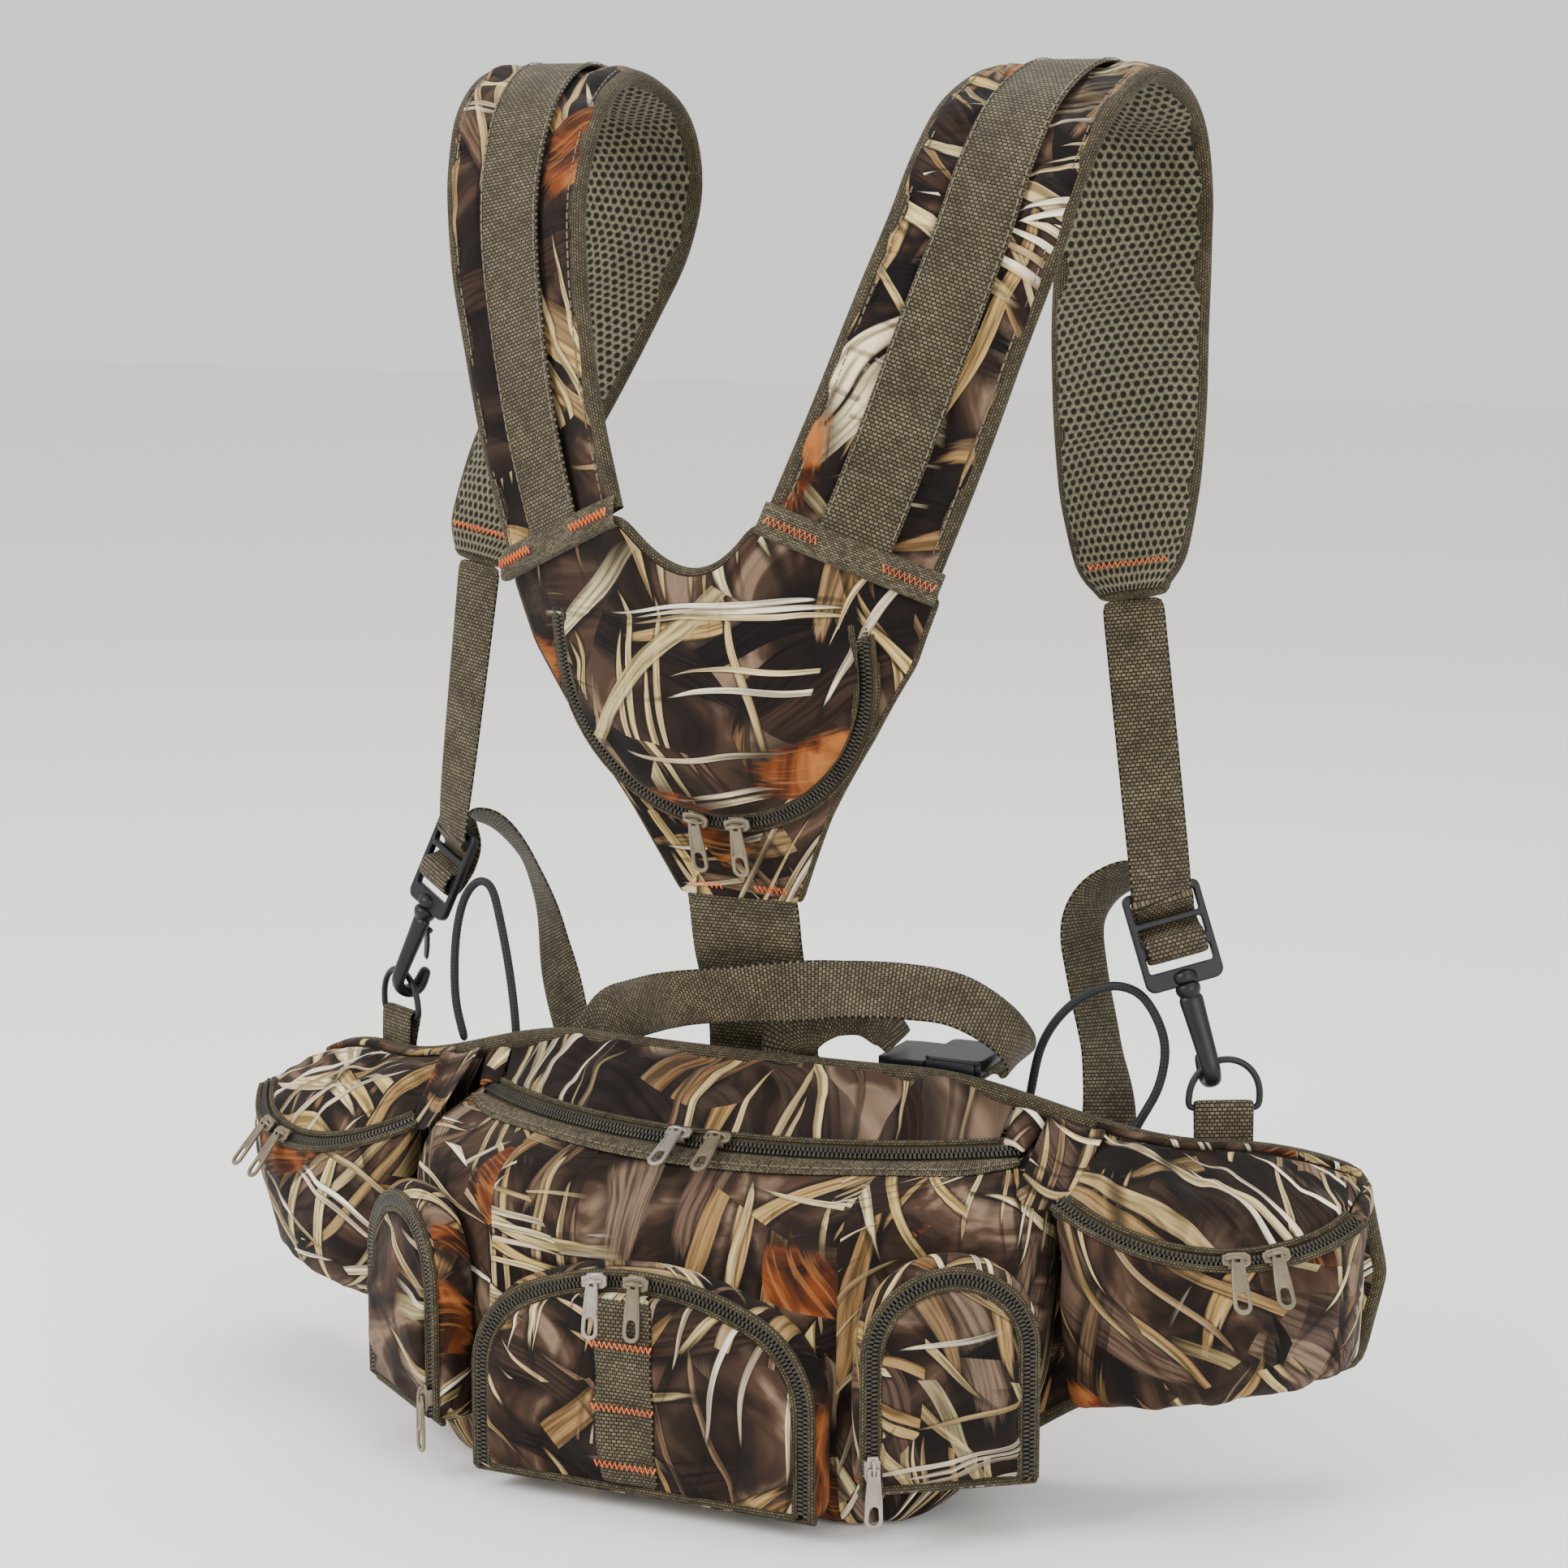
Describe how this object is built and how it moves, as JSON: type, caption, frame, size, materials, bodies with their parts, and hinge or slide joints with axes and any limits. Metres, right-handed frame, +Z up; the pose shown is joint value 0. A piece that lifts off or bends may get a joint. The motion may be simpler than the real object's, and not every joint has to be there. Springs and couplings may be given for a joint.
{
  "type": "waist pack with shoulder harness",
  "caption": "Camouflage waist pack with zipped pockets and end pouches, hung from a padded Y-back shoulder harness with snap hooks.",
  "frame": {"origin": "middle of the flat base of the main bag", "axes": "+Z up along the harness, +Y toward the front of the wearer, -Y out of the pockets, +X to the wearer's right"},
  "size_m": [0.506, 0.2379, 0.5622],
  "materials": {
    "camouflage_cloth": "printed polyester, matte",
    "olive_webbing": "woven nylon webbing",
    "air_mesh": "knitted spacer mesh over foam",
    "black_plastic": "moulded acetal, satin",
    "black_cord": "braided elastic cord",
    "painted_wire": "black powder coat",
    "zip_metal": "lacquered zinc, satin"
  },
  "bodies": {
    "pack": {"adjuster_left": "black_plastic", "adjuster_right": "black_plastic", "back_panel": "air_mesh", "belt_webbing_left": "olive_webbing", "belt_webbing_right": "olive_webbing", "buckle_socket": "black_plastic", "center_pocket": "camouflage_cloth", "d_ring_tab_left": "olive_webbing", "d_ring_tab_right": "olive_webbing", "elastic_loop_left": "black_cord", "elastic_loop_right": "black_cord", "end_pouch_left": "camouflage_cloth", "end_pouch_right": "camouflage_cloth", "main_bag": "camouflage_cloth", "shoulder_strap_left": "camouflage_cloth", "shoulder_strap_right": "camouflage_cloth", "side_pocket_left": "camouflage_cloth", "side_pocket_right": "camouflage_cloth", "spine_webbing": "olive_webbing", "strap_webbing_left": "olive_webbing", "strap_webbing_right": "olive_webbing", "yoke_panel": "camouflage_cloth"},
    "main_lid": {"main_lid": "camouflage_cloth"},
    "main_zip_left_slider": {"main_zip_left_slider": "zip_metal"},
    "main_zip_left_pull": {"main_zip_left_pull": "zip_metal"},
    "main_zip_right_slider": {"main_zip_right_slider": "zip_metal"},
    "main_zip_right_pull": {"main_zip_right_pull": "zip_metal"},
    "center_door": {"center_door": "camouflage_cloth"},
    "center_zip_left_slider": {"center_zip_left_slider": "zip_metal"},
    "center_zip_left_pull": {"center_zip_left_pull": "zip_metal"},
    "center_zip_right_slider": {"center_zip_right_slider": "zip_metal"},
    "center_zip_right_pull": {"center_zip_right_pull": "zip_metal"},
    "side_door_left": {"side_door_left": "camouflage_cloth"},
    "side_zip_left_slider": {"side_zip_left_slider": "zip_metal"},
    "side_zip_left_pull": {"side_zip_left_pull": "zip_metal"},
    "end_lid_left": {"end_lid_left": "camouflage_cloth"},
    "end_zip_left_inner_slider": {"end_zip_left_inner_slider": "zip_metal"},
    "end_zip_left_inner_pull": {"end_zip_left_inner_pull": "zip_metal"},
    "end_zip_left_outer_slider": {"end_zip_left_outer_slider": "zip_metal"},
    "end_zip_left_outer_pull": {"end_zip_left_outer_pull": "zip_metal"},
    "side_door_right": {"side_door_right": "camouflage_cloth"},
    "side_zip_right_slider": {"side_zip_right_slider": "zip_metal"},
    "side_zip_right_pull": {"side_zip_right_pull": "zip_metal"},
    "end_lid_right": {"end_lid_right": "camouflage_cloth"},
    "end_zip_right_inner_slider": {"end_zip_right_inner_slider": "zip_metal"},
    "end_zip_right_inner_pull": {"end_zip_right_inner_pull": "zip_metal"},
    "end_zip_right_outer_slider": {"end_zip_right_outer_slider": "zip_metal"},
    "end_zip_right_outer_pull": {"end_zip_right_outer_pull": "zip_metal"},
    "yoke_door": {"yoke_door": "camouflage_cloth"},
    "yoke_zip_left_slider": {"yoke_zip_left_slider": "zip_metal"},
    "yoke_zip_left_pull": {"yoke_zip_left_pull": "zip_metal"},
    "yoke_zip_right_slider": {"yoke_zip_right_slider": "zip_metal"},
    "yoke_zip_right_pull": {"yoke_zip_right_pull": "zip_metal"},
    "snap_hook_left": {"snap_hook_left": "black_plastic"},
    "hook_gate_left": {"hook_gate_left": "black_plastic"},
    "d_ring_left": {"d_ring_left": "painted_wire"},
    "snap_hook_right": {"snap_hook_right": "black_plastic"},
    "hook_gate_right": {"hook_gate_right": "black_plastic"},
    "d_ring_right": {"d_ring_right": "painted_wire"},
    "buckle_plug": {"buckle_plug": "black_plastic"}
  },
  "joints": [
    {"name": "main_lid_hinge", "type": "hinge", "parent": "pack", "child": "main_lid", "pos_m": [0, 0.044, 0.164], "axis": [-1, 0, 0], "range_deg": [0, 50]},
    {"name": "main_zip_left_travel", "type": "hinge", "parent": "pack", "child": "main_zip_left_slider", "pos_m": [0, 0.186, 0.138], "axis": [0, 0, -1], "range_deg": [0, 30]},
    {"name": "main_zip_left_pull_swing", "type": "hinge", "parent": "main_zip_left_slider", "child": "main_zip_left_pull", "pos_m": [-0.00861, -0.00724, 0.14327], "axis": [-0.999, 0.0445, 0], "range_deg": [0, 75]},
    {"name": "main_zip_right_travel", "type": "hinge", "parent": "pack", "child": "main_zip_right_slider", "pos_m": [0, 0.186, 0.138], "axis": [0, 0, 1], "range_deg": [0, 30]},
    {"name": "main_zip_right_pull_swing", "type": "hinge", "parent": "main_zip_right_slider", "child": "main_zip_right_pull", "pos_m": [0.00861, -0.00724, 0.14327], "axis": [-0.999, -0.0445, 0], "range_deg": [0, 75]},
    {"name": "center_door_hinge", "type": "hinge", "parent": "pack", "child": "center_door", "pos_m": [0, -0.0579, 0.011], "axis": [1, 0, 0], "range_deg": [0, 80]},
    {"name": "center_zip_left_travel", "type": "hinge", "parent": "pack", "child": "center_zip_left_slider", "pos_m": [0, -0.0585, -0.021], "axis": [0, -1, 0], "range_deg": [0, 14]},
    {"name": "center_zip_left_pull_swing", "type": "hinge", "parent": "center_zip_left_slider", "child": "center_zip_left_pull", "pos_m": [-0.0176, -0.06426, 0.09506], "axis": [-0.9998, 0.0178, 0], "range_deg": [0, 150]},
    {"name": "center_zip_right_travel", "type": "hinge", "parent": "pack", "child": "center_zip_right_slider", "pos_m": [0, -0.0585, -0.021], "axis": [0, 1, 0], "range_deg": [0, 22]},
    {"name": "center_zip_right_pull_swing", "type": "hinge", "parent": "center_zip_right_slider", "child": "center_zip_right_pull", "pos_m": [0.0005, -0.06426, 0.09639], "axis": [-1, -0.0005, 0], "range_deg": [0, 150]},
    {"name": "side_door_left_hinge", "type": "hinge", "parent": "pack", "child": "side_door_left", "pos_m": [-0.12056, -0.0342, 0.025], "axis": [0.7986, -0.6018, 0], "range_deg": [0, 80]},
    {"name": "side_zip_left_travel", "type": "slide", "parent": "pack", "child": "side_zip_left_slider", "axis": [0, 0, 1], "range_m": [0, 0.04]},
    {"name": "side_zip_left_pull_swing", "type": "hinge", "parent": "side_zip_left_slider", "child": "side_zip_left_pull", "pos_m": [-0.0995, -0.05809, 0.034], "axis": [-0.7986, 0.6018, 0], "range_deg": [0, 150]},
    {"name": "end_lid_left_hinge", "type": "hinge", "parent": "pack", "child": "end_lid_left", "pos_m": [-0.1925, 0.0745, 0.135], "axis": [-0.9116, 0.3968, -0.1072], "range_deg": [0, 75]},
    {"name": "end_zip_left_inner_travel", "type": "hinge", "parent": "pack", "child": "end_zip_left_inner_slider", "pos_m": [-0.17791, 0.08247, 0.14998], "axis": [-0.2743, -0.4635, 0.8426], "range_deg": [0, 46]},
    {"name": "end_zip_left_inner_pull_swing", "type": "hinge", "parent": "end_zip_left_inner_slider", "child": "end_zip_left_inner_pull", "pos_m": [-0.21567, 0.02191, 0.11092], "axis": [-0.8627, 0.5057, 0], "range_deg": [0, 150]},
    {"name": "end_zip_left_outer_travel", "type": "hinge", "parent": "pack", "child": "end_zip_left_outer_slider", "pos_m": [-0.17791, 0.08247, 0.14998], "axis": [0.2743, 0.4635, -0.8426], "range_deg": [0, 23]},
    {"name": "end_zip_left_outer_pull_swing", "type": "hinge", "parent": "end_zip_left_outer_slider", "child": "end_zip_left_outer_pull", "pos_m": [-0.22879, 0.03119, 0.11179], "axis": [-0.8207, 0.5713, 0], "range_deg": [0, 150]},
    {"name": "side_door_right_hinge", "type": "hinge", "parent": "pack", "child": "side_door_right", "pos_m": [0.12056, -0.0342, 0.025], "axis": [0.7986, 0.6018, 0], "range_deg": [0, 80]},
    {"name": "side_zip_right_travel", "type": "slide", "parent": "pack", "child": "side_zip_right_slider", "axis": [0, 0, 1], "range_m": [0, 0.04]},
    {"name": "side_zip_right_pull_swing", "type": "hinge", "parent": "side_zip_right_slider", "child": "side_zip_right_pull", "pos_m": [0.0995, -0.05809, 0.034], "axis": [-0.7986, -0.6018, 0], "range_deg": [0, 150]},
    {"name": "end_lid_right_hinge", "type": "hinge", "parent": "pack", "child": "end_lid_right", "pos_m": [0.1925, 0.0745, 0.135], "axis": [-0.9116, -0.3968, 0.1072], "range_deg": [0, 75]},
    {"name": "end_zip_right_inner_travel", "type": "hinge", "parent": "pack", "child": "end_zip_right_inner_slider", "pos_m": [0.17791, 0.08247, 0.14998], "axis": [-0.2743, 0.4635, -0.8426], "range_deg": [0, 46]},
    {"name": "end_zip_right_inner_pull_swing", "type": "hinge", "parent": "end_zip_right_inner_slider", "child": "end_zip_right_inner_pull", "pos_m": [0.21567, 0.02191, 0.11092], "axis": [-0.8627, -0.5057, 0], "range_deg": [0, 150]},
    {"name": "end_zip_right_outer_travel", "type": "hinge", "parent": "pack", "child": "end_zip_right_outer_slider", "pos_m": [0.17791, 0.08247, 0.14998], "axis": [0.2743, -0.4635, 0.8426], "range_deg": [0, 23]},
    {"name": "end_zip_right_outer_pull_swing", "type": "hinge", "parent": "end_zip_right_outer_slider", "child": "end_zip_right_outer_pull", "pos_m": [0.22879, 0.03119, 0.11179], "axis": [-0.8207, -0.5713, 0], "range_deg": [0, 150]},
    {"name": "yoke_door_hinge", "type": "hinge", "parent": "pack", "child": "yoke_door", "pos_m": [0, -0.009, 0.3505], "axis": [-1, 0, 0], "range_deg": [0, 100]},
    {"name": "yoke_zip_left_travel", "type": "hinge", "parent": "pack", "child": "yoke_zip_left_slider", "pos_m": [0, -0.0015, 0.331], "axis": [0, 0.951, 0.3091], "range_deg": [0, 35]},
    {"name": "yoke_zip_left_pull_swing", "type": "hinge", "parent": "yoke_zip_left_slider", "child": "yoke_zip_left_pull", "pos_m": [-0.01181, 0.0142, 0.26427], "axis": [-0.9984, 0.0557, 0], "range_deg": [0, 150]},
    {"name": "yoke_zip_right_travel", "type": "hinge", "parent": "pack", "child": "yoke_zip_right_slider", "pos_m": [0, -0.0015, 0.331], "axis": [0, -0.951, -0.3091], "range_deg": [0, 35]},
    {"name": "yoke_zip_right_pull_swing", "type": "hinge", "parent": "yoke_zip_right_slider", "child": "yoke_zip_right_pull", "pos_m": [0.00668, 0.01436, 0.26354], "axis": [-0.9995, -0.0318, 0], "range_deg": [0, 150]},
    {"name": "snap_hook_left_swivel", "type": "hinge", "parent": "pack", "child": "snap_hook_left", "pos_m": [-0.17409, 0.07946, 0.20176], "axis": [-0.3608, -0.1403, -0.922], "range_deg": [-8, 8]},
    {"name": "hook_gate_left_hinge", "type": "hinge", "parent": "snap_hook_left", "child": "hook_gate_left", "pos_m": [-0.17537, 0.08164, 0.19272], "axis": [-0.8183, 0.5219, 0.2408], "range_deg": [0, 12], "stiffness_Nm_per_rad": 0.02, "springref_deg": -17.19},
    {"name": "d_ring_left_tilt", "type": "hinge", "parent": "pack", "child": "d_ring_left", "pos_m": [-0.1893, 0.0824, 0.1525], "axis": [0.8829, -0.4695, 0], "range_deg": [-4, 2]},
    {"name": "snap_hook_right_swivel", "type": "hinge", "parent": "pack", "child": "snap_hook_right", "pos_m": [0.17409, 0.07946, 0.20176], "axis": [0.3608, -0.1403, -0.922], "range_deg": [-8, 8]},
    {"name": "hook_gate_right_hinge", "type": "hinge", "parent": "snap_hook_right", "child": "hook_gate_right", "pos_m": [0.17537, 0.08164, 0.19272], "axis": [-0.8183, -0.5219, -0.2408], "range_deg": [0, 12], "stiffness_Nm_per_rad": 0.02, "springref_deg": -17.19},
    {"name": "d_ring_right_tilt", "type": "hinge", "parent": "pack", "child": "d_ring_right", "pos_m": [0.1893, 0.0824, 0.1525], "axis": [0.8829, 0.4695, 0], "range_deg": [-4, 2]},
    {"name": "buckle_release", "type": "slide", "parent": "pack", "child": "buckle_plug", "axis": [-1, 0, 0], "range_m": [0, 0.022]}
  ],
  "couplings": [
    {"joint": "main_zip_left_travel", "follows": "main_lid_hinge", "ratio": 0.6},
    {"joint": "main_zip_right_travel", "follows": "main_lid_hinge", "ratio": 0.6},
    {"joint": "center_zip_left_travel", "follows": "center_door_hinge", "ratio": 0.175},
    {"joint": "center_zip_right_travel", "follows": "center_door_hinge", "ratio": 0.275},
    {"joint": "side_zip_left_travel", "follows": "side_door_left_hinge", "m_per_rad": 0.02862},
    {"joint": "end_zip_left_inner_travel", "follows": "end_lid_left_hinge", "ratio": 0.61333},
    {"joint": "end_zip_left_outer_travel", "follows": "end_lid_left_hinge", "ratio": 0.30667},
    {"joint": "side_zip_right_travel", "follows": "side_door_right_hinge", "m_per_rad": 0.02862},
    {"joint": "end_zip_right_inner_travel", "follows": "end_lid_right_hinge", "ratio": 0.61333},
    {"joint": "end_zip_right_outer_travel", "follows": "end_lid_right_hinge", "ratio": 0.30667},
    {"joint": "yoke_zip_left_travel", "follows": "yoke_door_hinge", "ratio": 0.35},
    {"joint": "yoke_zip_right_travel", "follows": "yoke_door_hinge", "ratio": 0.35}
  ]
}
